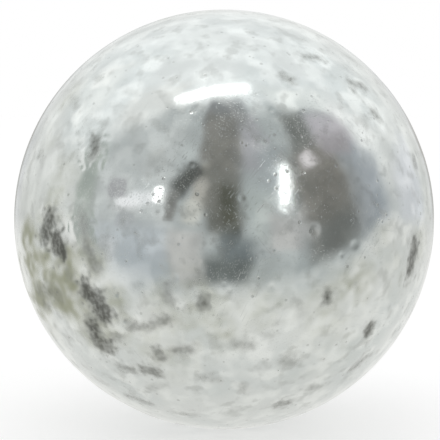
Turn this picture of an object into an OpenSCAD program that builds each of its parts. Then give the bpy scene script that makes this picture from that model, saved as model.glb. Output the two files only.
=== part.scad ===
// Petanque boule: a hollow steel ball, polished smooth and without grooves.
// Two forged half-shells meet at a stepped rim, and one weld seam joins them.
// The origin is the ball's centre, and the weld seam lies in the XY plane.
// Every piece is turned about Z, so each is drawn as half of its section and revolved.

/* [Ball] */
// Outside diameter of the finished ball
ball_d = 74; // [70.5:0.5:80]
// Thickness of the forged wall, which sets the ball's weight
wall_t = 6.25; // [5.5:0.05:7.5]

/* [Turned band] */
// Depth that the lathe takes off the inside of each rim, to make it round
band_cut = 0.3; // [0.1:0.1:0.5]
// Height of that turned band, measured from the joint plane
band_h = 6; // [4.5:0.5:9]

/* [Centring lip] */
// Thickness of the lip that stands up from the lower shell's rim
lip_t = 1.3; // [1:0.1:1.6]
// Height of the lip above the joint plane
lip_h = 3; // [2:0.25:3.5]
// Lead-in chamfer on the lip's outer edge
lip_chamfer = 0.4; // [0.2:0.1:0.6]
// Radial clearance between the lip and its socket in the upper shell
lip_fit = 0.05; // [0.03:0.01:0.1]
// Clearance between the lip's end and the socket's end
lip_end_gap = 0.3; // [0.2:0.1:0.5]

/* [Weld groove] */
// Radial thickness of the land on which the two rims butt
land_t = 0.75; // [0.5:0.05:1]
// Width of the groove at its root
root_w = 1.5; // [1:0.1:2]
// Slope of each side of the groove, measured from the joint plane
bevel_angle = 30; // [20:1:40]

/* [Hidden] */

// How far a cut runs past what it cuts
overrun = 1;

// Radii of the wall
ball_r = ball_d / 2;
cavity_r = ball_r - wall_t;

// Radii across the joint, from the cavity outwards
bore_r = cavity_r + band_cut;
lip_r = bore_r + lip_t;
socket_r = lip_r + lip_fit;
root_r = socket_r + land_t;

// Depth of the socket that takes the lip
socket_h = lip_h + lip_end_gap;

// The groove's mouth, just outside the ball
mouth_r = ball_r + overrun;
mouth_half_w = root_w / 2 + (mouth_r - root_r) * tan(bevel_angle);

$fn = 128;

module polished_steel() color([0.79, 0.81, 0.80]) children();
module ground_weld() color([0.74, 0.76, 0.76]) children();

// The wall of the ball in section, on both sides of the axis
module wall_section() {
    difference() {
        circle(r = ball_r);
        circle(r = cavity_r);
    }
}

// A rectangle from the axis out to a radius, between two heights
module from_axis(radius, low, high) {
    translate([0, low])
        square([radius, high - low]);
}

// The V-shaped weld groove with its flat root, cut from outside
module groove_section() {
    polygon([
        [root_r, -root_w / 2],
        [mouth_r, -mouth_half_w],
        [mouth_r, mouth_half_w],
        [root_r, root_w / 2],
    ]);
}

// The corner that the lathe takes off the lip, so that it finds its socket
module lip_chamfer_section() {
    polygon([
        [lip_r - lip_chamfer, lip_h],
        [lip_r - lip_chamfer, lip_h + overrun],
        [lip_r + overrun, lip_h + overrun],
        [lip_r + overrun, lip_h - lip_chamfer],
        [lip_r, lip_h - lip_chamfer],
    ]);
}

// Upper shell: its rim is bored out to take the lip, and bevelled for the weld
module upper_section() {
    difference() {
        intersection() {
            wall_section();
            from_axis(mouth_r, 0, mouth_r);
        }
        from_axis(bore_r, -overrun, band_h);
        from_axis(socket_r, -overrun, socket_h);
        groove_section();
    }
}

// Lower shell: its forging runs past the joint plane, and the lathe leaves the lip there
module lower_section() {
    difference() {
        intersection() {
            wall_section();
            from_axis(mouth_r, -mouth_r, lip_h);
        }
        from_axis(bore_r, -band_h, lip_h + overrun);
        translate([lip_r, 0])
            square([mouth_r - lip_r, lip_h + overrun]);
        lip_chamfer_section();
        groove_section();
    }
}

// Weld metal: it fills the groove, and is ground flush with the ball
module weld_section() {
    intersection() {
        circle(r = ball_r);
        groove_section();
    }
}

module upper_half_shell() {
    polished_steel()
        rotate_extrude()
            upper_section();
}

module lower_half_shell() {
    polished_steel()
        rotate_extrude()
            lower_section();
}

module weld_seam() {
    ground_weld()
        rotate_extrude()
            weld_section();
}

upper_half_shell();
lower_half_shell();
weld_seam();
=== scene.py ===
# %% [markdown]
# A petanque boule is a hollow steel ball: forged half-shells, joined by one weld that is
# ground flush and polished with them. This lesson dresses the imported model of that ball.
# The steel acts as a mirror, so there are two jobs here. One is the skin, with the dents,
# flats and scratches that play leaves. The other is a small studio for it to reflect.

# %% Load the frame
import math
import random

import bmesh
import bpy
from mathutils import Matrix, Vector, noise
from mathutils.kdtree import KDTree


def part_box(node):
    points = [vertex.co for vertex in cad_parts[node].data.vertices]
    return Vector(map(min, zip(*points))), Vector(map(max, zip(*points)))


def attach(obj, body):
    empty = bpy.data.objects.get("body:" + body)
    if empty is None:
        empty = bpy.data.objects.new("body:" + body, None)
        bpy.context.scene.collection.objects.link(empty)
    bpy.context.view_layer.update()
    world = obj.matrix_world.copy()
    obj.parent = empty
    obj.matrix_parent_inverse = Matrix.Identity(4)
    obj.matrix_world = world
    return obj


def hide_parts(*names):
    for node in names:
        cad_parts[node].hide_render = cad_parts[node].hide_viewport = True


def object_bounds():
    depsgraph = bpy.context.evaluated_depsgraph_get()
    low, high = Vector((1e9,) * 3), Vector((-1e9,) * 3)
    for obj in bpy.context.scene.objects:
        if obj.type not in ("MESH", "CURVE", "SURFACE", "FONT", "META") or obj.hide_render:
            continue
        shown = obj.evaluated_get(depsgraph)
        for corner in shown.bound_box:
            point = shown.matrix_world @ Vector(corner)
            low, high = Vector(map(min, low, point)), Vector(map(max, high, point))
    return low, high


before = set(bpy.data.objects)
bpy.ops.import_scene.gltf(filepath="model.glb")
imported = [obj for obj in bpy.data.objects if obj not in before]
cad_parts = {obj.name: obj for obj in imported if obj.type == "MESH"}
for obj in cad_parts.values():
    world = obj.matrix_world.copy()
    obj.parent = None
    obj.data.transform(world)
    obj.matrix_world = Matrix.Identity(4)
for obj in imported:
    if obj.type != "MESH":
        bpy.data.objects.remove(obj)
cad_low, cad_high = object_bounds()

MM = 0.001


def in_mm(lengths):
    """The lengths in millimetres, rounded to be printed."""
    return [round(length / MM, 2) for length in lengths]


print("CAD box in mm:", in_mm(cad_high - cad_low))

# %% [markdown]
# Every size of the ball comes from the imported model. The ball's poles are exact, so half of
# its height is its radius. The weld seam's node gives how wide the seam is at the surface
# and how deep its groove goes: its vertices lie either on the ball or at the groove's root.

# %% Measure the ball
BALL_R = (cad_high.z - cad_low.z) / 2
FLOOR_Z = cad_low.z
SEAM_HALF_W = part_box("weld_seam")[1].z
ROOT_R = min(vert.co.xy.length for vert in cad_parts["weld_seam"].data.vertices)
print("radius, half seam and groove root in mm:", in_mm((BALL_R, SEAM_HALF_W, ROOT_R)))

# %% [markdown]
# The camera comes next, because marks that the photograph shows are placed through it. The
# photograph looks at the ball from just above its middle. A long lens is used, so that the
# outline is almost as wide as the ball. The camera aims a little to the left of the ball,
# which puts the ball where the photograph has it without any lens shift.

# %% Place the camera
FRAME_PX = 440
BALL_CENTRE_PX = (224.0, 219.5)
BALL_RADIUS_PX = 210.0
CAMERA_LIFT = math.radians(5)
LENS_MM = 120
SENSOR_MM = 36

focal_px = FRAME_PX * LENS_MM / SENSOR_MM
outline_angle = math.atan(BALL_RADIUS_PX / focal_px)
camera_gap = BALL_R / math.sin(outline_angle)
toward_camera = Matrix.Rotation(-CAMERA_LIFT, 3, "X")

camera_data = bpy.data.cameras.new("camera")
camera_data.lens = LENS_MM
camera_data.sensor_width = SENSOR_MM
camera_data.clip_start = MM
camera = bpy.data.objects.new("camera", camera_data)
bpy.context.scene.collection.objects.link(camera)
bpy.context.scene.camera = camera

aside_px = FRAME_PX / 2 - BALL_CENTRE_PX[0]
above_px = BALL_CENTRE_PX[1] - FRAME_PX / 2
aim_offset = Vector((aside_px, 0, above_px)) * camera_gap / focal_px
camera.location = toward_camera @ Vector((0, -camera_gap, 0))
aim = toward_camera @ aim_offset
camera.rotation_euler = (aim - camera.location).to_track_quat("-Z", "Y").to_euler()
print("camera distance in mm:", round(camera_gap / MM))

# %% [markdown]
# Three things shape the skin. Forging and polishing leave it faintly wavy, which bends
# reflections a little. Boules that strike each other leave broad, shallow flats. Stones leave
# smaller, deeper dents and scrapes, where dirt and rust collect.
# A bump map could fake all that, but the exported mesh would stay a perfect ball. So one dense
# ball is made here and its vertices are moved. An icosphere suits this, because its triangles
# have nearly one size, with no crowded poles. Everything is pressed inwards, so the ball never
# grows past its gauge. Each vertex also carries two values for the steel's material to read:
# how much wear it has, and how much stain.

# %% Make the dense ball
BALL_SUBDIVISIONS = 8
WAVE_LENGTH = 7 * MM
WAVE_DEPTH = 0.014 * MM

ball = bmesh.new()
bmesh.ops.create_icosphere(ball, subdivisions=BALL_SUBDIVISIONS, radius=BALL_R)
wear = ball.verts.layers.float.new("wear")
stain = ball.verts.layers.float.new("stain")

finder = KDTree(len(ball.verts))
for index, vert in enumerate(ball.verts):
    finder.insert(vert.co, index)
finder.balance()
ball.verts.ensure_lookup_table()

for vert in ball.verts:
    rise = noise.noise(vert.co / WAVE_LENGTH)
    vert.co -= vert.co.normalized() * WAVE_DEPTH * (1 - rise) / 2
print("vertices of the dense ball:", len(ball.verts))

# %% [markdown]
# A dent is a shallow bowl. Its depth fades from the middle to the edge by a power just over 1,
# which keeps a fairly crisp edge. A scrape is the same bowl drawn along a line, so one helper
# presses both. Noise can make its edge ragged, by stretching and shrinking distances. The
# helper also writes how grimy the place is into the "wear" value of its vertices.

# %% Press a dent or a scrape
EDGE_POWER = 1.3
RAGGED_SIZES = (2.4 * MM, 0.9 * MM)


def press(centres, radius, depth, grime, ragged=0.0):
    """Presses bowls of one radius into the ball, run together where they meet."""
    shares = {}
    for centre in centres:
        for place, index, gap in finder.find_range(centre, radius * (1 + ragged)):
            if ragged:
                gap *= 1 + sum(ragged * noise.noise(place / size) for size in RAGGED_SIZES)
            share = max(0.0, 1 - (gap / radius) ** 2) ** EDGE_POWER
            shares[index] = max(share, shares.get(index, 0.0))
    for index, share in shares.items():
        vert = ball.verts[index]
        vert.co -= vert.co.normalized() * depth * share
        vert[wear] = max(vert[wear], grime * share**2)


# %% [markdown]
# The photograph shows many marks clearly enough to place, most of them in the pale rim of the
# ball. Each is given by the pixels that it runs through, its radius in millimetres, and how
# dark it looks. The worst ones are the scrapes in a chain at the lower left, as after a hard
# hit on stone.

# %% Marks that the photograph shows
MARKS_PX = {
    "chain of scrapes": [
        ([(51, 219), (47, 228), (46, 235)], 4.0, 0.8), ([(55, 240), (60, 249)], 4.0, 1.0),
        ([(66, 268), (70, 277)], 2.5, 0.35), ([(38, 290), (58, 294)], 3.2, 0.4),
        ([(45, 305), (48, 307)], 2.8, 0.4), ([(87, 291), (93, 298), (101, 307)], 4.1, 0.95),
        ([(101, 308), (103, 316)], 4.0, 0.95), ([(91, 324), (97, 337), (104, 347)], 3.7, 0.75),
        ([(114, 340), (119, 337)], 2.3, 0.45),
    ],
    "left edge": [
        ([(83, 218), (86, 246), (96, 267)], 2.6, 0.5),
        ([(95, 141), (95, 151)], 2.6, 0.75), ([(118, 189)], 1.8, 0.3),
        ([(123, 221)], 1.7, 0.35), ([(71, 97), (75, 107)], 2.0, 0.35),
        ([(95, 67)], 1.6, 0.35), ([(110, 73)], 1.6, 0.35), ([(38, 157)], 1.7, 0.4),
    ],
    "top": [
        ([(284, 77), (290, 79)], 2.2, 0.5), ([(350, 82), (363, 86)], 2.6, 0.5),
        ([(170, 84)], 1.7, 0.3), ([(306, 57), (316, 57)], 2.6, 0.5),
        ([(375, 113)], 3.1, 0.52), ([(126, 92), (134, 93)], 2.1, 0.3),
    ],
    "right edge": [
        ([(414, 158), (415, 166)], 1.8, 0.5), ([(415, 248), (411, 268)], 3.5, 0.8),
        ([(369, 328), (368, 332)], 2.3, 0.8), ([(394, 333)], 1.8, 0.4),
        ([(366, 357), (352, 369)], 2.5, 0.45), ([(355, 285)], 2.1, 0.3),
        ([(327, 294), (327, 301)], 2.0, 0.65), ([(277, 322)], 1.7, 0.35),
    ],
    "bottom": [
        ([(203, 304)], 2.7, 0.6), ([(167, 285), (169, 301)], 2.3, 0.45),
        ([(132, 327), (150, 326), (166, 320)], 2.6, 0.5), ([(236, 344), (250, 346)], 2.3, 0.46),
        ([(176, 351), (190, 350)], 2.3, 0.5), ([(158, 352), (160, 358)], 2.3, 0.54),
        ([(121, 367), (133, 370)], 2.3, 0.5), ([(143, 370), (156, 373)], 2.6, 0.66),
        ([(206, 379), (218, 380)], 2.3, 0.36), ([(243, 385), (243, 390)], 2.1, 0.42),
        ([(284, 363), (293, 363)], 2.3, 0.36), ([(277, 405), (288, 403)], 2.6, 0.52),
        ([(311, 388), (320, 387)], 2.5, 0.44), ([(128, 396), (150, 404)], 2.3, 0.46),
        ([(176, 413), (194, 415)], 2.3, 0.36), ([(299, 303), (301, 313)], 2.3, 0.3),
        ([(150, 388), (164, 386)], 2.4, 0.32),
    ],
}
print("marks that the photograph shows:", sum(map(len, MARKS_PX.values())))

# %% [markdown]
# To place them, a ray goes from the camera through a pixel to the ball. A mark is then a row
# of bowls, a few pixels apart, along the line through its pixels. Darker marks are pressed
# deeper, because a hard blow leaves a deep dent, and a deep dent holds more dirt.

# %% Press those marks
MARK_STEP_PX = 3
MARK_DEPTH_SHARE = 0.035
RAGGED = 0.5


def on_ball(px, py):
    """The point of the ball that the photograph shows at this pixel."""
    start = Vector((0, -camera_gap, 0))
    ray = Vector((px - BALL_CENTRE_PX[0], focal_px, BALL_CENTRE_PX[1] - py)).normalized()
    nearest = -start.dot(ray)
    inside = math.sqrt(max(0.0, nearest**2 - camera_gap**2 + BALL_R**2))
    return toward_camera @ (start + ray * (nearest - inside))


def along(corners_px):
    """Points on the ball, a few pixels apart, along a line through these pixels."""
    points = [on_ball(*corners_px[0])]
    for start, end in zip(corners_px, corners_px[1:]):
        steps = max(1, round(math.dist(start, end) / MARK_STEP_PX))
        for step in range(1, steps + 1):
            share = step / steps
            points.append(on_ball(start[0] + (end[0] - start[0]) * share,
                                  start[1] + (end[1] - start[1]) * share))
    return points


for place_name, marks in MARKS_PX.items():
    for corners_px, radius_mm, grime in marks:
        depth = MARK_DEPTH_SHARE * radius_mm * MM * grime
        press(along(corners_px), radius_mm * MM, depth, grime, RAGGED)
    print("marks placed,", place_name + ":", len(marks))

# %% [markdown]
# The rest of the ball is as worn as the side in the photograph. Flats, dents and marks are
# scattered by a seeded random generator, so that every run gives the same ball. Each kind is
# given by its count, the range of its radii, its depth as a share of the radius, and the range
# of its grime. Small ones are far more common than large ones, which squaring a random share
# gives.

# %% Kinds of wear
WEAR_SEED = 74
WEAR = {
    "flats": {"count": 46, "radius_mm": (2.5, 5.0), "depth_share": 0.012, "grime": (0, 0)},
    "dents": {"count": 300, "radius_mm": (0.4, 1.1), "depth_share": 0.035, "grime": (0, 0.5)},
    "marks": {"count": 60, "radius_mm": (1.6, 4.0), "depth_share": 0.025, "grime": (0.25, 1),
              "wanders": True},
}

dice = random.Random(WEAR_SEED)
print("kinds of wear:", ", ".join(WEAR))


def anywhere():
    """A random point on the ball, spread evenly over it."""
    return Vector([dice.gauss(0, 1) for _ in range(3)]).normalized() * BALL_R


# %% [markdown]
# A flat or a dent is one bowl. A mark wanders off from its first bowl in short steps, each of
# which turns a little. No mark starts on the side that the photograph shows, because the ones
# there are placed already. That side is where the cosine of the angle between a point of the
# ball and the camera's direction is above a small limit.

# %% Scatter the rest of the wear
MARK_MOST_STEPS = 7
MARK_STEP_RADII = 0.6
MARK_TURN = 0.7
SHOWN_COSINE = 0.15

facing_camera = toward_camera @ Vector((0, -1, 0))


def wandering(centre, radius):
    """A line of points that starts at the centre and wanders off over the ball."""
    line = [centre]
    heading = anywhere() / BALL_R
    for _ in range(dice.randint(0, MARK_MOST_STEPS)):
        heading = (heading + MARK_TURN * anywhere() / BALL_R).normalized()
        line.append((line[-1] + heading * radius * MARK_STEP_RADII).normalized() * BALL_R)
    return line


def scatter(kind, count, radius_mm, depth_share, grime, wanders=False):
    """Presses one kind of wear into the ball, as single bowls or as wandering marks."""
    low, high = radius_mm
    pressed = 0
    for _ in range(count):
        centre = anywhere()
        radius = (low + (high - low) * dice.random() ** 2) * MM
        dirt = dice.uniform(*grime)
        line = wandering(centre, radius) if wanders else [centre]
        if wanders and centre.normalized().dot(facing_camera) > SHOWN_COSINE:
            continue
        press(line, radius, depth_share * radius, dirt, RAGGED if wanders else 0.0)
        pressed += 1
    print("scattered", kind + ":", pressed, "of", count)


for kind, facts in WEAR.items():
    scatter(kind, **facts)

# %% [markdown]
# A thin film of old dirt lies on the ball in patches. It is dull and olive round the scrapes,
# and fainter elsewhere. It has no height, so it is only a "stain" value on the vertices,
# faded towards its edge and broken up by noise. Each patch that the photograph shows is given
# by its pixel, its radius in millimetres and its strength. Others lie behind at random.

# %% Patches of film
FILMS_PX = {
    "round the scrapes": [
        (30, 246, 6, 1.2), (30, 264, 5, 1.1), (40, 295, 5, 1.25), (56, 290, 5.5, 1.3),
        (66, 276, 4.5, 1.3), (65, 264, 4.5, 1.2), (44, 230, 5, 0.5), (42, 246, 4, 0.9),
        (44, 251, 4, 1.1), (38, 308, 5, 1.0), (48, 326, 4.5, 0.6), (45, 316, 6, 0.6),
        (88, 260, 5, 0.7), (66, 300, 5.5, 1.0), (80, 302, 5, 0.9), (114, 300, 4, 0.7),
        (94, 330, 6, 0.7), (111, 323, 6, 0.7), (52, 335, 7, 0.35), (21, 262, 3.5, 0.7),
        (27, 290, 3.5, 0.7), (37, 322, 4, 0.6), (52, 346, 4, 0.5), (68, 364, 4, 0.4),
    ],
    "left edge": [
        (57, 204, 5, 0.7), (62, 176, 6, 0.4), (50, 138, 5, 0.3), (70, 95, 6, 0.35),
    ],
    "bottom": [
        (166, 353, 9, 0.36), (150, 334, 3.5, 0.45), (166, 300, 6, 0.5), (200, 310, 12, 0.5),
        (258, 299, 9, 0.4), (330, 345, 12, 0.27),
    ],
    "right edge": [
        (330, 305, 9, 0.45), (356, 284, 6, 0.65), (400, 270, 8, 0.3), (420, 243, 5, 0.5),
        (386, 238, 5, 0.4),
    ],
}
FILMS_BEHIND = {"count": 9, "radius_mm": (7, 15), "strength": (0.3, 0.8)}
print("patches of film that the photograph shows:", sum(map(len, FILMS_PX.values())))

# %% [markdown]
# Noise of two sizes thins the film in places, so that it looks wiped and not sprayed. Where
# patches overlap, the stronger one counts.

# %% Lay the film
FILM_SPOTS = (4.5 * MM, 1.6 * MM)
FILM_EVEN = 0.85
FILM_PATCHY = 0.5


def lay_film(centre, radius, strength):
    """Adds a patch of film to the vertices round a point."""
    for place, index, gap in finder.find_range(centre, radius):
        fade = 1 - (gap / radius) ** 2
        patchy = FILM_EVEN + sum(FILM_PATCHY * noise.noise(place / size) for size in FILM_SPOTS)
        vert = ball.verts[index]
        vert[stain] = max(vert[stain], strength * fade * patchy)


for films in FILMS_PX.values():
    for px, py, radius_mm, strength in films:
        lay_film(on_ball(px, py), radius_mm * MM, strength)
for _ in range(FILMS_BEHIND["count"]):
    centre = anywhere()
    if centre.dot(facing_camera) > 0:
        centre.negate()
    lay_film(centre, dice.uniform(*FILMS_BEHIND["radius_mm"]) * MM,
             dice.uniform(*FILMS_BEHIND["strength"]))
print("vertices under film:", sum(vert[stain] > 0 for vert in ball.verts))

# %% [markdown]
# The real ball is three pieces, so the skin is cut along both edges of the weld seam. All
# three cuts come from the same dented ball, so they meet exactly and dents run across them.

# %% Cut the skin
CUT_SLACK = 0.0001 * MM


def cut(skin, height, keep_above):
    """Cuts the skin at a height and throws one side away."""
    bmesh.ops.bisect_plane(
        skin, geom=skin.verts[:] + skin.edges[:] + skin.faces[:], dist=CUT_SLACK,
        plane_co=(0, 0, height), plane_no=(0, 0, 1),
        clear_inner=keep_above, clear_outer=not keep_above,
    )


# %% [markdown]
# Each piece is then closed behind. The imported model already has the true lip, socket and
# inner wall, so a copy of those faces is kept, and only the ones that touch the surface or
# the bevels of the weld groove are left out.

# %% Take over the hidden walls
MERGE_GAP = 0.002 * MM
SKIN_SLACK = 0.1 * MM
HIDDEN_SLOT = 1


def add_hidden_walls(skin, node):
    """Adds the CAD node's faces from the groove's root inwards, in their own material."""
    walls = bmesh.new()
    walls.from_mesh(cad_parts[node].data)
    bmesh.ops.remove_doubles(walls, verts=walls.verts, dist=MERGE_GAP)
    outer = {
        vert for vert in walls.verts
        if vert.co.xy.length > ROOT_R + SKIN_SLACK or vert.co.length > BALL_R - SKIN_SLACK
    }
    shown = [face for face in walls.faces if outer.intersection(face.verts)]
    bmesh.ops.delete(walls, geom=shown, context="FACES")
    for face in walls.faces:
        face.material_index = HIDDEN_SLOT
    print("hidden faces from", node + ":", len(walls.faces))
    plain = bpy.data.meshes.new("hidden_walls")
    walls.to_mesh(plain)
    walls.free()
    for name in ("custom_normal", "sharp_face"):
        if name in plain.attributes:
            plain.attributes.remove(plain.attributes[name])
    skin.from_mesh(plain)
    bpy.data.meshes.remove(plain)


# %% [markdown]
# A bevel of the weld groove runs from the skin's edge to the groove's root. Both are closed
# loops round the same axis, so one bridge between them makes the whole bevel.

# %% Bridge a bevel
def bridge_bevel(skin, above):
    """Bridges the skin's edge to the groove's root, above or below the joint plane."""
    rim = [
        edge for edge in skin.edges
        if edge.is_boundary and (edge.verts[0].co.z > 0) == above
    ]
    bevel = bmesh.ops.bridge_loops(skin, edges=rim)
    for face in bevel["faces"]:
        face.material_index = HIDDEN_SLOT
    print("faces of the bevel:", len(bevel["faces"]))


# %% [markdown]
# A closed skin then becomes an object. Its faces are turned outwards and shaded smooth, apart
# from sharp corners such as those of the lip. It rides on the ball's only body and stands for
# its CAD node, which is hidden, and it takes the materials that it is given.

# %% Finish a piece
CREASE_ANGLE = math.radians(30)
CM = 0.01


def finish_piece(skin, name, node, materials):
    """Turns a closed skin into a piece that stands for its CAD node."""
    bmesh.ops.recalc_face_normals(skin, faces=skin.faces)
    for face in skin.faces:
        face.smooth = True
    for edge in skin.edges:
        edge.smooth = edge.is_manifold and edge.calc_face_angle() < CREASE_ANGLE
    open_edges = sum(not edge.is_manifold for edge in skin.edges)
    mesh = bpy.data.meshes.new(name)
    skin.to_mesh(mesh)
    print(name, "faces:", len(mesh.polygons), "open edges:", open_edges,
          "volume in cm3:", round(skin.calc_volume() / CM**3, 2))
    skin.free()
    for material in materials:
        mesh.materials.append(material)
    piece = bpy.data.objects.new(name, mesh)
    bpy.context.scene.collection.objects.link(piece)
    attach(piece, "root")
    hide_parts(node)


# %% [markdown]
# Materials are made of nodes. A few helpers keep the scripts for them short. The first clears
# a material or world and returns a function that adds nodes to it. That function takes the
# sockets to fill as a dictionary, and each is either linked to another node or set to a value.

# %% Add and link nodes
def node_adder(owner):
    """Clears a material's or world's nodes, and returns a function that adds new ones."""
    owner.use_nodes = True
    nodes = owner.node_tree.nodes
    nodes.clear()

    def add(kind, values=None, **settings):
        node = nodes.new(kind)
        for key, value in settings.items():
            setattr(node, key, value)
        for socket, value in (values or {}).items():
            plug(node.inputs[socket], value)
        return node

    return add


def plug(socket, value):
    """Links a socket to another one, or sets it to a plain value."""
    if isinstance(value, bpy.types.NodeSocket):
        socket.id_data.links.new(value, socket)
    else:
        socket.default_value = value


# %% [markdown]
# These do the jobs that come up again and again: mix two colours, fit a value to a range, do
# a sum and make spots of noise.

# %% Helpers for materials
def mixed(add, share, first, second):
    """The colour that goes from first to second as share goes from 0 to 1."""
    node = add("ShaderNodeMix", data_type="RGBA", clamp_factor=True)
    sockets = [socket for socket in node.inputs if socket.enabled]
    for socket, value in zip(sockets, (share, first, second)):
        plug(socket, value)
    return next(socket for socket in node.outputs if socket.enabled)


def fitted(add, value, low, high, to_low=0.0, to_high=1.0):
    """The value, moved smoothly from one range to another and held there."""
    return add("ShaderNodeMapRange", {
        "Value": value, "From Min": low, "From Max": high,
        "To Min": to_low, "To Max": to_high,
    }, interpolation_type="SMOOTHSTEP").outputs[0]


def maths(add, operation, first, second=0.0):
    """The result of one sum on one or two values."""
    return add("ShaderNodeMath", {0: first, 1: second}, operation=operation).outputs[0]


def spots(add, place, size, detail):
    """Noise around 0.5, with spots of about this size."""
    return add("ShaderNodeTexNoise", {
        "Vector": place, "Scale": 1 / size, "Detail": detail,
    }).outputs[0]


# %% [markdown]
# Polished steel is a metal of a pale, slightly green grey. What makes it look real is that it
# isn't the same everywhere: the polish is cloudy, play has peppered it with pits and fine
# scratches, and dents hold grime. Its colour also carries painted reflections: darker cloudy
# patches and paler patches stand in for the mottled surroundings that the steel would reflect.
# All of that comes from noise in Object coordinates, which stay with the ball, and from the two
# values that the vertices carry.
# Pits are smaller than the mesh can hold. A Voronoi texture scatters points through space,
# and a pit is whatever lies near a point. Each cell's random colour sets its pit's size. The
# texture is turned askew, because its cells could otherwise line up into rows of pits.

# %% Pits
PIT_TURN = (0.5, 0.8, 0.3)
PIT_SPACING = 1.5 * MM
PIT_CHANCES = (0.4, 1.0)
PIT_REACHES = (0.05, 0.24)
PIT_FLOOR = 0.5


def pits(add, place):
    """Small round pits: 0 on the plain steel, 1 at the bottom of a pit."""
    askew = add("ShaderNodeMapping", {"Vector": place, "Rotation": PIT_TURN}).outputs[0]
    cells = add("ShaderNodeTexVoronoi", {"Vector": askew, "Scale": 1 / PIT_SPACING})
    chance = add("ShaderNodeSeparateColor", {0: cells.outputs["Color"]}).outputs[0]
    reach = fitted(add, chance, *PIT_CHANCES, *PIT_REACHES)
    gap = maths(add, "DIVIDE", cells.outputs["Distance"], reach)
    return fitted(add, gap, PIT_FLOOR, 1.0, 1.0, 0.0)


# %% [markdown]
# A scratch is a thin line. Noise that is stretched along one axis gives streaks along it, and
# a narrow band of its values leaves only fine lines. Each layer is turned another way and
# kept to its own patches of the ball, so that scratches lie in short groups.

# %% Scratches
SCRATCH_TURNS = [
    (0.3, 0.9, 0.2), (1.2, 0.1, 0.8), (2.0, 0.6, 1.9), (0.8, 2.3, 0.5), (1.7, 1.1, 2.6),
]
SCRATCH_WIDTH = 0.16 * MM
SCRATCH_LENGTH = 8 * MM
SCRATCH_BAND = (0.72, 0.80)
SCRATCH_PATCH = 10 * MM
PATCH_DETAIL = 2.0
PATCH_BAND = (0.48, 0.60)


def scratches(add, place):
    """Fine lines in several directions: 0 on the plain steel, 1 in a scratch."""
    lines = 0.0
    for turn in SCRATCH_TURNS:
        stretched = add("ShaderNodeMapping", {
            "Vector": place, "Rotation": turn,
            "Scale": (SCRATCH_LENGTH, SCRATCH_WIDTH, SCRATCH_WIDTH),
        }, vector_type="TEXTURE").outputs[0]
        streaks = spots(add, stretched, size=1.0, detail=0.0)
        moved = add("ShaderNodeMapping", {"Vector": place, "Location": turn}).outputs[0]
        patches = spots(add, moved, SCRATCH_PATCH, PATCH_DETAIL)
        line = maths(add, "MULTIPLY", fitted(add, streaks, *SCRATCH_BAND),
                     fitted(add, patches, *PATCH_BAND))
        lines = maths(add, "MAXIMUM", lines, line)
    return lines


# %% [markdown]
# The steel's looks are layers over its own colour. Each has the colour that it leads to, how
# strongly it does so, and how much rougher it makes the steel, because a dull patch is one
# whose polish is gone. The noise behind a layer has the size of its spots and its detail, and
# a band of noise values over which the layer sets in.

# %% Layers of the steel
STEEL = (0.68, 0.70, 0.685, 1.0)
WELD_STEEL = (0.66, 0.68, 0.67, 1.0)
# Darker tone of the cloudy patches: partly a cloudier polish, partly painted reflection shade.
CLOUDED_AND_REFLECTION_SHADE = (0.61, 0.64, 0.63, 1.0)
# Paler tone: bright polish worn by rubbing, and painted highlights of reflected flats.
RUBBED_AND_HIGHLIGHT = (0.80, 0.82, 0.80, 1.0)
TARNISHED = (0.38, 0.39, 0.37, 1.0)
GRIME = (0.14, 0.14, 0.125, 1.0)
FILM = (0.33, 0.34, 0.25, 1.0)

CLOUD_AND_REFLECTION_SPOTS = (12 * MM, 4.0)
CLOUD_AND_REFLECTION_BAND = (0.40, 0.66)
RUBBED_AND_HIGHLIGHT_SPOTS = (3.4 * MM, 1.0)
RUBBED_AND_HIGHLIGHT_BAND = (0.42, 0.68)
TARNISH_SPOTS = (2.8 * MM, 2.0)
TARNISH_BAND = (0.52, 0.72)
SPECKLE_SPOTS = (0.7 * MM, 2.0)
SPECKLE_SWING = (0.8, 1.2)
FILM_BAND = (0.0, 1.2)
DULLED_BAND = (0.0, 0.7)
GRIME_BAND = (0.2, 1.1)
NOISE_SPAN = (0.3, 0.7)

LAYERS = {
    # The first layer pales the steel in patches: worn polish and painted highlights together.
    "rubbed_and_highlight": (RUBBED_AND_HIGHLIGHT, 0.7, 0.0),
    "tarnish": (TARNISHED, 0.36, 0.10),
    "film": (FILM, 0.95, 0.30),
    "pits": (TARNISHED, 0.4, 0.15),
    "scratches": (TARNISHED, 0.2, 0.12),
    "dulled": (TARNISHED, 0.62, 0.16),
    "grime": (GRIME, 0.85, 0.30),
}
print("layers of the steel:", ", ".join(LAYERS))

# %% [markdown]
# The steel itself puts these together. A mark dulls the steel all over and holds grime only
# at its middle, and speckles break the grime up, as dirt does. Pits, scratches and a faint
# grain are also a little relief. The weld is polished slightly less than the shells.

# %% Polished steel
SHELL_POLISH = 0.08
WELD_POLISH = 0.095
CLOUD_ROUGHENS = 1.6
RELIEF_DEPTH = 0.02 * MM
PIT_RELIEF = 0.6
SCRATCH_RELIEF = 0.25
GRAIN_RELIEF = 0.1
GRAIN_SPOTS = (0.7 * MM, 1.0)


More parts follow.
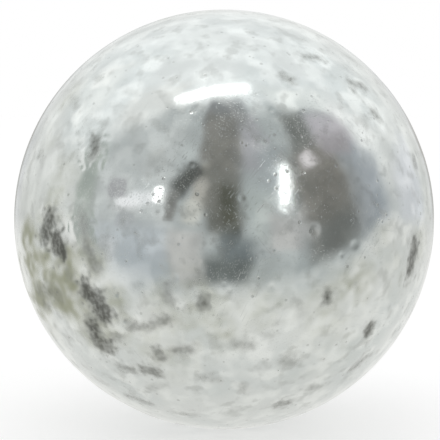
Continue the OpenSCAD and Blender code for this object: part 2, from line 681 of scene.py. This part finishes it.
def steel_material(name, colour, polish):
    """Polished steel with a cloudy polish, painted reflection patches, tarnish, pits,
    scratches, grime and film.
    """
    material = bpy.data.materials.new(name)
    add = node_adder(material)
    place = add("ShaderNodeTexCoord").outputs["Object"]
    worn = add("ShaderNodeAttribute", attribute_name="wear").outputs["Fac"]
    filmed = add("ShaderNodeAttribute", attribute_name="stain").outputs["Fac"]
    speckle = fitted(add, spots(add, place, *SPECKLE_SPOTS), *NOISE_SPAN, *SPECKLE_SWING)
    clouds_and_reflection_shade = fitted(add, spots(add, place, *CLOUD_AND_REFLECTION_SPOTS), *CLOUD_AND_REFLECTION_BAND)
    shares = {
        # Paler patches: polish worn by rubbing, with painted highlights.
        "rubbed_and_highlight": fitted(add, spots(add, place, *RUBBED_AND_HIGHLIGHT_SPOTS), *RUBBED_AND_HIGHLIGHT_BAND),
        "tarnish": fitted(add, spots(add, place, *TARNISH_SPOTS), *TARNISH_BAND),
        "film": fitted(add, filmed, *FILM_BAND),
        "pits": pits(add, place),
        "scratches": scratches(add, place),
        "dulled": fitted(add, worn, *DULLED_BAND),
        "grime": fitted(add, maths(add, "MULTIPLY", worn, speckle), *GRIME_BAND),
    }

    # The cloudy noise darkens the colour as painted reflection shade, and it also roughens the
    # polish.
    tone = mixed(add, clouds_and_reflection_shade, colour, CLOUDED_AND_REFLECTION_SHADE)
    rough = fitted(add, clouds_and_reflection_shade, 0.0, 1.0, polish, CLOUD_ROUGHENS * polish)
    for layer, (dull, strength, extra_rough) in LAYERS.items():
        share = shares[layer]
        tone = mixed(add, maths(add, "MULTIPLY", share, strength), tone, dull)
        rough = maths(add, "ADD", rough, maths(add, "MULTIPLY", share, extra_rough))

    dips = maths(add, "ADD", maths(add, "MULTIPLY", shares["pits"], PIT_RELIEF),
                 maths(add, "MULTIPLY", shares["scratches"], SCRATCH_RELIEF))
    grain = maths(add, "MULTIPLY", spots(add, place, *GRAIN_SPOTS), GRAIN_RELIEF)
    relief = maths(add, "SUBTRACT", grain, dips)
    bump = add("ShaderNodeBump", {"Height": relief, "Distance": RELIEF_DEPTH})
    shader = add("ShaderNodeBsdfPrincipled", {
        "Base Color": tone, "Metallic": 1.0, "Roughness": rough, "Normal": bump.outputs[0],
    })
    add("ShaderNodeOutputMaterial", {"Surface": shader.outputs[0]})
    return material


polished_steel = steel_material("polished_steel", STEEL, SHELL_POLISH)
ground_weld = steel_material("ground_weld", WELD_STEEL, WELD_POLISH)
print("nodes in the polished steel:", len(polished_steel.node_tree.nodes))

# %% [markdown]
# Inside the ball nobody polishes anything. The forged wall keeps its dark, scaly skin. It is
# hidden here, but whoever takes the ball apart finds it finished. One noise is enough for it:
# where it is high, the steel is both paler and rougher.

# %% Raw steel
FORGED_DARK = (0.10, 0.10, 0.11, 1.0)
FORGED_LIGHT = (0.22, 0.20, 0.19, 1.0)
FORGED_SPOTS = (12 * MM, 6.0)
FORGED_ROUGHNESS = (0.45, 0.7)


def raw_steel_material():
    """Forged steel inside the ball: dark, scaly and rough."""
    material = bpy.data.materials.new("raw_steel")
    add = node_adder(material)
    place = add("ShaderNodeTexCoord").outputs["Object"]
    scaly = spots(add, place, *FORGED_SPOTS)
    shader = add("ShaderNodeBsdfPrincipled", {
        "Base Color": mixed(add, scaly, FORGED_DARK, FORGED_LIGHT), "Metallic": 1.0,
        "Roughness": fitted(add, scaly, *NOISE_SPAN, *FORGED_ROUGHNESS),
    })
    add("ShaderNodeOutputMaterial", {"Surface": shader.outputs[0]})
    return material


raw_steel = raw_steel_material()
print("nodes in the raw steel:", len(raw_steel.node_tree.nodes))

# %% [markdown]
# The upper shell of the real ball is forged as a bowl, and its rim is turned into a socket
# for the other half's lip. It could be modelled as a bowl here too, but then its dents would
# have to be matched to the seam's. Cutting all three pieces from the one dense ball avoids
# that, and the CAD node's own walls bring the socket.

# %% Upper shell
upper_skin = ball.copy()
cut(upper_skin, SEAM_HALF_W, keep_above=True)
add_hidden_walls(upper_skin, "upper_half_shell")
bridge_bevel(upper_skin, above=True)
finish_piece(upper_skin, "upper_shell", "upper_half_shell",
             [polished_steel, raw_steel])

# %% [markdown]
# The lower shell is the same forging, with a lip on its rim that centres the two halves. It is
# cut in the same way. Its lip stands above the joint plane, so its only open edge beside the
# skin's is the one at the groove's root, below the plane.

# %% Lower shell
lower_skin = ball.copy()
cut(lower_skin, -SEAM_HALF_W, keep_above=False)
add_hidden_walls(lower_skin, "lower_half_shell")
bridge_bevel(lower_skin, above=False)
finish_piece(lower_skin, "lower_shell", "lower_half_shell",
             [polished_steel, raw_steel])

# %% [markdown]
# On the real ball, weld metal fills the groove between the two bevels and is ground flush. Here
# the bead is the narrow band between both cuts, closed by the ring at the groove's root and by
# both bevels. Its steel is almost the same as the shells', because the whole ball is polished
# after the weld is ground. It is cut last, so it can use up the ball itself.

# %% Weld bead
bead_skin = ball
cut(bead_skin, SEAM_HALF_W, keep_above=False)
cut(bead_skin, -SEAM_HALF_W, keep_above=True)
add_hidden_walls(bead_skin, "weld_seam")
bridge_bevel(bead_skin, above=True)
bridge_bevel(bead_skin, above=False)
finish_piece(bead_skin, "weld_bead", "weld_seam", [ground_weld, raw_steel])

# %% [markdown]
# The studio comes last. The ball stands on a plain pale sheet, which is part of the stage and
# not of the object. It is one large square, so that its edges are far out of view.

# %% Floor
FLOOR_REACH = 3.0

floor_shape = bmesh.new()
bmesh.ops.create_grid(floor_shape, x_segments=1, y_segments=1, size=FLOOR_REACH)
bmesh.ops.translate(floor_shape, verts=floor_shape.verts, vec=(0, 0, FLOOR_Z))
floor_mesh = bpy.data.meshes.new("floor")
floor_shape.to_mesh(floor_mesh)
floor_shape.free()
floor = bpy.data.objects.new("floor", floor_mesh)
bpy.context.scene.collection.objects.link(floor)
print("floor under the ball's centre, in mm:", round(-FLOOR_Z / MM, 2))

# %% [markdown]
# The sheet's lit white is raised to the background's white for the camera and for reflections,
# while the ball's shadow stays on it. For reflections the sheet ends a short way in front of
# the ball, where the steel shows the darker cards instead. The gleam that reflections see holds
# painted shade: it is a little dimmer on the right, and a painted shadow darkens it under the
# ball. It fades out far behind the ball, so that no hard horizon shows in the steel.

# %% Pale sheet
SHEET_COLOUR = (0.82, 0.82, 0.82, 1.0)
SHEET_LIFT = 0.39
GLEAM_COLOUR = (1.0, 1.0, 0.97, 1.0)
GLEAM_STRENGTH = 0.93
GLEAM_SHARE = 0.7
# Painted shade in the gleam: dimmer to the right, and a painted shadow of the ball round its
# foot.
RIGHT_SHADE_DIM = 0.90
RIGHT_SHADE_FROM_TO = (20 * MM, 130 * MM)
UNDER_SHADOW_DIM = 0.95
UNDER_SHADOW_FROM_TO = (38 * MM, 62 * MM)
AHEAD_FROM_TO = (-105 * MM, -41 * MM)
BEHIND_FROM_TO = (150 * MM, 600 * MM)


def sheet_material():
    """A pale sheet that the camera and reflections see as white, with shadows kept, and painted
    shade in the gleam that reflections see.
    """
    material = bpy.data.materials.new("pale_sheet")
    add = node_adder(material)
    path = add("ShaderNodeLightPath").outputs
    mirrored = path["Is Glossy Ray"]
    seen = maths(add, "MAXIMUM", path["Is Camera Ray"], mirrored)
    seen = maths(add, "MAXIMUM", seen, path["Is Transmission Ray"])
    point = add("ShaderNodeTexCoord").outputs["Object"]
    place = add("ShaderNodeSeparateXYZ", {0: point}).outputs
    reach = add("ShaderNodeVectorMath", {0: point}, operation="LENGTH").outputs["Value"]
    lit = add("ShaderNodeBsdfDiffuse", {"Color": SHEET_COLOUR}).outputs[0]
    lift = add("ShaderNodeEmission", {"Strength": maths(add, "MULTIPLY", seen, SHEET_LIFT)})
    sheet = add("ShaderNodeAddShader", {0: lit, 1: lift.outputs[0]}).outputs[0]
    # The gleam carries painted shade: dimmer to the right, and a painted shadow under the ball.
    shaded_gleam = fitted(add, place["X"], *RIGHT_SHADE_FROM_TO, GLEAM_STRENGTH, GLEAM_STRENGTH * RIGHT_SHADE_DIM)
    shaded_gleam = maths(add, "MULTIPLY", shaded_gleam, fitted(add, reach, *UNDER_SHADOW_FROM_TO, UNDER_SHADOW_DIM, 1.0))
    gleam = add("ShaderNodeEmission", {"Color": GLEAM_COLOUR, "Strength": shaded_gleam}).outputs[0]
    gleaming = maths(add, "MULTIPLY", mirrored, GLEAM_SHARE)
    sheet = add("ShaderNodeMixShader", {0: gleaming, 1: sheet, 2: gleam}).outputs[0]

    ahead = fitted(add, place["Y"], *AHEAD_FROM_TO, 1.0, 0.0)
    behind = fitted(add, place["Y"], *BEHIND_FROM_TO)
    gone = maths(add, "MULTIPLY", maths(add, "MAXIMUM", ahead, behind), mirrored)
    clear = add("ShaderNodeBsdfTransparent").outputs[0]
    shown = add("ShaderNodeMixShader", {0: gone, 1: sheet, 2: clear}).outputs[0]
    add("ShaderNodeOutputMaterial", {"Surface": shown})
    return material


pale_sheet = sheet_material()
floor_mesh.materials.append(pale_sheet)
print("nodes in the pale sheet:", len(pale_sheet.node_tree.nodes))

# %% [markdown]
# Everything far away is painted into the world. It is white all round, with soft-edged cards
# in front of the ball and behind it, as product studios hang black and grey cloth to give
# polished metal its shape. Most are grey and a few are brighter than the white. Only
# reflections see the cards: diffuse surfaces get plain white light, and the camera sees the
# white background.
# A card has a heading and a height, in degrees. Height is the angle above the horizon.
# Heading grows to the camera's right: it is 0 towards the camera for the cards in front,
# and 0 straight behind the ball for the cards there. Then come half the card's width and
# height, its turn, how soft its edge is, and its colour. Later cards cover earlier ones.

# %% Cards
CARDS_AHEAD = {
    "grey_all": (8, 15.5, 82, 49, 0, 11, (0.56, 0.595, 0.60)),
    "white_corner_right": (77, 58.5, 24, 8, -25, 7, (1.13, 1.15, 1.14)),
    "pale_left": (-53, 27, 25, 31, 0, 14, (0.69, 0.715, 0.72)),
    "pale_left_low": (-52, -16, 23, 15, 0, 12, (0.65, 0.69, 0.73)),
    "white_corner_left": (-73.5, 58.5, 18, 12, 33, 12, (1.10, 1.11, 1.10)),
    "pale_left_spot": (-65, -10, 5, 6, 0, 5, (0.80, 0.81, 0.83)),
    "green_edge_top": (-80.5, 20, 6, 13, 4, 7, (0.48, 0.52, 0.49)),
    "green_edge": (-78, -8, 4.5, 15, 6, 8, (0.48, 0.52, 0.49)),
    "mauve_strip": (19, 46, 8, 16, 0, 8, (0.555, 0.55, 0.58)),
    "blue_strip": (27, 27, 6, 14, 0, 8, (0.53, 0.565, 0.585)),
    "green_strip": (19.5, 6, 7, 14, 0, 7, (0.65, 0.69, 0.68)),
    "dark_top": (3, 62.5, 19.5, 8.5, 0, 8, (0.31, 0.32, 0.33)),
    "dark_shoulder": (-1.5, 48, 14, 14, 0, 7, (0.275, 0.27, 0.255)),
    "dark_side": (-10, 22, 4, 12, 0, 6, (0.42, 0.41, 0.375)),
    "dark_stripe": (0.3, 24, 10.3, 23, -1, 5, (0.28, 0.275, 0.255)),
    "dark_core": (2.8, 7.5, 5.3, 14.5, 0, 6, (0.12, 0.12, 0.095)),
    "dark_hip": (-5, 3, 4.5, 6, 0, 6, (0.20, 0.20, 0.18)),
    "dark_neck": (2.4, -6, 5, 6, 0, 5, (0.20, 0.22, 0.22)),
    "dark_foot": (6.9, -13.5, 9, 8.5, 0, 9, (0.24, 0.27, 0.28)),
    "dark_toe": (0.8, -22, 12.5, 6.8, 0, 6, (0.20, 0.22, 0.22)),
    "warm_high": (-14, 16, 4, 8, -15, 5, (0.56, 0.54, 0.50)),
    "warm_low": (-18, 8, 4.5, 6, -10, 5, (0.84, 0.83, 0.78)),
    "pale_foot": (-20.5, -16, 8.5, 14, 0, 7, (0.64, 0.635, 0.625)),
    "dark_slant": (-20.3, 25.2, 8.7, 5.3, 42, 6, (0.11, 0.115, 0.11)),
    "slant_foot": (-28.5, 12, 3.2, 8.5, -10, 5, (0.27, 0.27, 0.26)),
    "grey_patch": (-61, 16, 5, 4, 0, 4, (0.46, 0.46, 0.48)),
    "grey_smear": (-41, 35, 5, 4, 20, 4, (0.57, 0.585, 0.58)),
    "grey_patch_low": (-54, 1.5, 4, 2, 0, 3, (0.57, 0.585, 0.61)),
    "pale_streak": (-49, 12, 12, 3.2, 20, 5, (1.10, 1.10, 1.13)),
    "blue_right": (85, 16, 14, 19, 0, 16, (0.47, 0.50, 0.54)),
    "dark_right_top": (55.8, 42.5, 11.5, 12.5, -17, 9, (0.25, 0.26, 0.25)),
    "mauve": (82, 39, 15, 7, -18, 8, (0.63, 0.60, 0.645)),
    "dark_right_edge": (69, 11, 13, 15, 0, 16, (0.36, 0.375, 0.385)),
    "dark_right": (55.3, 18, 17.3, 19, 8, 8, (0.27, 0.26, 0.24)),
    "dark_tip": (60, -5.5, 16, 8.5, 24, 9, (0.23, 0.235, 0.225)),
    "mauve_low": (75, 34.5, 9, 5.5, -18, 7, (0.47, 0.445, 0.47)),
    "pale_right_top": (99, 36, 9.5, 13, 0, 12, (1.05, 1.06, 1.06)),
    "pale_low": (33.5, -1.5, 8.5, 10, 0, 5, (0.635, 0.63, 0.625)),
    "pale_notch": (44.5, -0.5, 5, 3, -10, 3, (0.60, 0.595, 0.59)),
    "pink_spot": (53, 32.5, 4.8, 3.4, 15, 5, (0.79, 0.75, 0.77)),
}
CARDS_BEHIND = {
    "back_grey": (0, -8, 74, 15, 0, 22, (0.81, 0.82, 0.80)),
    "back_right": (58, 2, 14, 14, 0, 10, (0.92, 0.93, 0.97)),
    "bright_left": (-57, 39.5, 16, 9, 20, 8, (1.22, 1.23, 1.22)),
    "bright_right": (55, 34, 11, 8, -20, 10, (1.10, 1.12, 1.12)),
    "back_middle": (-3, -3, 30, 12, 0, 9, (0.80, 0.81, 0.815)),
    "back_dark_left": (-14, -7, 5, 12, 0, 5, (0.54, 0.54, 0.52)),
    "back_dark_right": (14, -8, 7, 12, 0, 5, (0.56, 0.55, 0.53)),
}
print("cards:", len(CARDS_AHEAD) + len(CARDS_BEHIND))

# %% [markdown]
# A card is a rectangle in headings and heights. The direction is moved and turned into the
# card's own frame, where it is compared with half the width and half the height. The soft
# edge takes up at most a quarter of the card from each side, so that a narrow card keeps its
# full colour in the middle.

# %% One card
def card_share(add, around, middle_x, middle_y, half_w, half_h, turn, softness):
    """1 on a card and 0 off it, from the heading and height in degrees."""
    on_card = add("ShaderNodeMapping", {
        "Vector": around, "Location": (middle_x, middle_y, 0),
        "Rotation": (0, 0, math.radians(turn)),
    }, vector_type="TEXTURE").outputs[0]
    apart = add("ShaderNodeSeparateXYZ", {0: on_card}).outputs
    shares = []
    for side, half in ((apart["X"], half_w), (apart["Y"], half_h)):
        soft = min(softness, half) / 2
        gap = maths(add, "ABSOLUTE", side)
        shares.append(fitted(add, gap, half - soft, half + soft, 1.0, 0.0))
    return maths(add, "MULTIPLY", *shares)


# %% [markdown]
# Clean rectangles would look drawn. A little noise is added to every heading and height, so
# the cards' edges bend, as those of loosely hung cloth do.

# %% Bent headings and heights
CLOTH_DETAIL = 3.0
BEND_SCALE = 2.6
BEND_DEGREES = 10.0
NOISE_MIDDLE = (0.5, 0.5, 0.5)


def bending(add, away):
    """A few degrees of noise for each direction, up and down as often."""
    waves = add("ShaderNodeTexNoise", {
        "Vector": away, "Scale": BEND_SCALE, "Detail": CLOTH_DETAIL,
    }).outputs["Color"]
    even = add("ShaderNodeVectorMath", {0: waves, 1: NOISE_MIDDLE}, operation="SUBTRACT")
    return add("ShaderNodeVectorMath", {0: even.outputs[0], "Scale": BEND_DEGREES},
               operation="SCALE").outputs[0]


def directions(add, sideways, ahead, height, bend):
    """Heading and height in degrees, bent a little, as one vector."""
    around = add("ShaderNodeCombineXYZ", {
        "X": maths(add, "DEGREES", maths(add, "ARCTAN2", sideways, ahead)),
        "Y": maths(add, "DEGREES", height),
    }).outputs[0]
    return add("ShaderNodeVectorMath", {0: around, 1: bend}, operation="ADD").outputs[0]


# %% [markdown]
# The world starts as a white sky that is a little brighter overhead. Its two limits are
# heights in radians. The cards are laid over it, those behind the ball first, and noise shades
# them all a little. At the end, the Light Path node decides what sees the painted sky.

# %% World
WHITE = (1.0, 1.0, 1.0, 1.0)
HORIZON_WHITE = (0.95, 0.96, 0.95, 1.0)
ZENITH_WHITE = (1.12, 1.15, 1.16, 1.0)
SKY_FROM_TO = (0.2, 0.9)
PLAIN_LIGHT = 0.75
SHADE_SCALE = 5.0
SHADE_RANGE = (0.90, 1.08)


def paint_world():
    """Builds the world's nodes and returns the world."""
    world = bpy.data.worlds.new("studio")
    add = node_adder(world)
    away = add("ShaderNodeTexCoord").outputs["Generated"]
    split = add("ShaderNodeSeparateXYZ", {0: away}).outputs
    height = maths(add, "ARCSINE", split["Z"])
    bend = bending(add, away)
    toward = maths(add, "MULTIPLY", split["Y"], -1.0)
    ahead = directions(add, split["X"], toward, height, bend)
    behind = directions(add, split["X"], split["Y"], height, bend)

    sky = mixed(add, fitted(add, height, *SKY_FROM_TO), HORIZON_WHITE, ZENITH_WHITE)
    for around, cards in ((behind, CARDS_BEHIND), (ahead, CARDS_AHEAD)):
        for *shape, colour in cards.values():
            sky = mixed(add, card_share(add, around, *shape), sky, (*colour, 1.0))
    shade = add("ShaderNodeTexNoise", {
        "Vector": away, "Scale": SHADE_SCALE, "Detail": CLOTH_DETAIL,
    }).outputs[0]
    shade = fitted(add, shade, *NOISE_SPAN, *SHADE_RANGE)

    path = add("ShaderNodeLightPath").outputs
    plain = add("ShaderNodeBackground", {"Color": WHITE, "Strength": PLAIN_LIGHT}).outputs[0]
    white = add("ShaderNodeBackground", {"Color": WHITE, "Strength": 1.0}).outputs[0]
    painted = add("ShaderNodeBackground", {"Color": sky, "Strength": shade}).outputs[0]
    shown = add("ShaderNodeMixShader", {0: path["Is Glossy Ray"], 1: plain, 2: painted})
    shown = add("ShaderNodeMixShader", {
        0: path["Is Camera Ray"], 1: shown.outputs[0], 2: white,
    })
    add("ShaderNodeOutputWorld", {"Surface": shown.outputs[0]})
    return world


bpy.context.scene.world = paint_world()
print("nodes in the world:", len(bpy.context.scene.world.node_tree.nodes))

# %% [markdown]
# The bright shapes in the steel are real lamps: a long one overhead, an upright one at the
# right and a small one at the left. They could be painted like the cards, but a lamp has a
# crisp edge and lights the floor as well. Each hangs a metre from the ball, faces it, and is
# placed by the same headings and heights as the cards. Its spin turns it in its own plane,
# and its size is in metres. The view transform is the plain one, so that colours show as
# they are written.

# %% Lamps
LAMP_GAP = 1.0
LAMPS = {
    "overhead": {"heading": -19, "height": 74, "spin": 28, "size": (0.57, 0.10), "watts": 0.38},
    "upright": {"heading": 33, "height": 20, "spin": -8, "size": (0.08, 0.40), "watts": 0.31},
    "small": {"heading": -35, "height": 16, "spin": 0, "size": (0.08, 0.12), "watts": 0.06},
}


def hang_lamp(name, heading, height, size, spin, watts):
    """Hangs a soft rectangular lamp that faces the ball."""
    data = bpy.data.lights.new(name, "AREA")
    data.shape = "RECTANGLE"
    data.size, data.size_y = size
    data.energy = watts
    lamp = bpy.data.objects.new(name, data)
    bpy.context.scene.collection.objects.link(lamp)
    around, above = math.radians(heading), math.radians(height)
    away = Vector((math.sin(around) * math.cos(above),
                   -math.cos(around) * math.cos(above), math.sin(above)))
    lamp.location = away * LAMP_GAP
    facing = away.to_track_quat("Z", "Y").to_matrix()
    lamp.rotation_euler = (facing @ Matrix.Rotation(math.radians(spin), 3, "Z")).to_euler()
    lamp.visible_camera = False


for lamp_name, lamp_facts in LAMPS.items():
    hang_lamp(lamp_name, **lamp_facts)
bpy.context.scene.view_settings.view_transform = "Standard"
print("lamps:", ", ".join(LAMPS))
